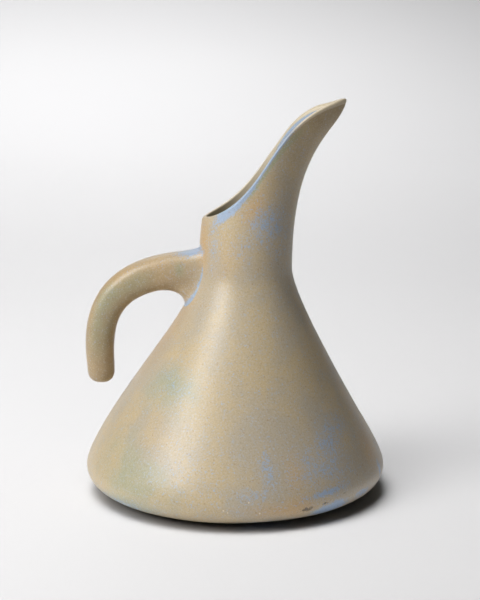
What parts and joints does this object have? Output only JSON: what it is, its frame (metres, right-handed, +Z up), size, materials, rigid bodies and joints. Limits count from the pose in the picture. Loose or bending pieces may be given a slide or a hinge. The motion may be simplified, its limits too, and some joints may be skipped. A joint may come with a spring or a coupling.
{
  "type": "ceramic wine pitcher",
  "caption": "Glazed stoneware wine pitcher with a wide cone body, a leaning neck that rises to a pointed beak, and a hook handle with a free end.",
  "frame": {"origin": "centre of the foot ring, on the table", "axes": "+Z up, +X towards the tip of the beak, -X towards the handle"},
  "size_m": [0.182, 0.182, 0.2383],
  "materials": {
    "glaze": "satin tan glaze with pale blue breaks and fine speckle",
    "bare_clay": "unglazed, matte"
  },
  "bodies": {
    "root": {"body_wall": "glaze", "base_slab": "glaze", "foot_ring": "bare_clay", "neck_collar": "glaze", "spout_beak": "glaze", "handle_hook": "glaze", "handle_root_coil": "glaze"}
  },
  "joints": []
}
